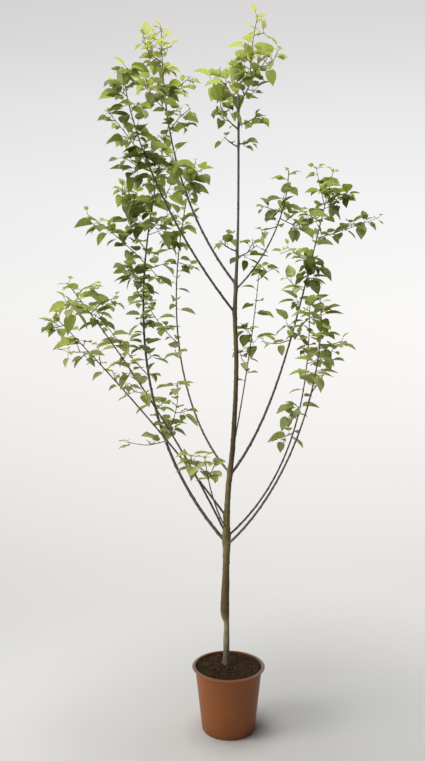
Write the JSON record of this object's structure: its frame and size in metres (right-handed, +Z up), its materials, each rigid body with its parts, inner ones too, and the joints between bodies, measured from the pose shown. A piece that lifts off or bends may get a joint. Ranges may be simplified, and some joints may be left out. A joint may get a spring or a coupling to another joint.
{
  "type": "potted apricot tree",
  "caption": "Young apricot tree with a slender trunk, long upswept boughs and loose clusters of leaves, standing in a round plastic nursery pot filled by its root ball.",
  "frame": {"origin": "centre of the pot's flat underside, on the floor", "axes": "+Z up the tree, +X to the right of its front, +Y to its back"},
  "size_m": [1.2341, 0.886, 2.4335],
  "materials": {
    "pot_plastic": "satin",
    "peat_soil": "matte",
    "trunk_bark": "matte",
    "bough_bark": "matte",
    "apricot_leaves": "matte"
  },
  "bodies": {
    "root": {"pot": "pot_plastic", "root_ball": "peat_soil", "trunk": "trunk_bark", "bough_low_left": "bough_bark", "bough_low_right_front": "bough_bark", "bough_low_right_back": "bough_bark", "bough_front_left": "bough_bark", "bough_inner_left": "bough_bark", "bough_far_left": "bough_bark", "bough_back_right": "bough_bark", "bough_back_left": "bough_bark", "bough_back": "bough_bark", "bough_high_left_front": "bough_bark", "bough_high_right": "bough_bark", "bough_high_left": "bough_bark", "leaves_low_left": "apricot_leaves", "leaves_low_right_front": "apricot_leaves", "leaves_low_right_back": "apricot_leaves", "leaves_front_left": "apricot_leaves", "leaves_inner_left": "apricot_leaves", "leaves_far_left": "apricot_leaves", "leaves_back_right": "apricot_leaves", "leaves_back_left": "apricot_leaves", "leaves_back": "apricot_leaves", "leaves_high_left_front": "apricot_leaves", "leaves_high_right": "apricot_leaves", "leaves_high_left": "apricot_leaves", "leaves_leader_lower_spur": "apricot_leaves", "leaves_leader_right_spur": "apricot_leaves", "leaves_leader_middle_spur": "apricot_leaves", "leaves_leader_back_spur": "apricot_leaves", "leaves_leader_upper_spur": "apricot_leaves", "leaves_leader_left_spur": "apricot_leaves", "leaves_top_left": "apricot_leaves", "leaves_top_right": "apricot_leaves"}
  },
  "joints": []
}
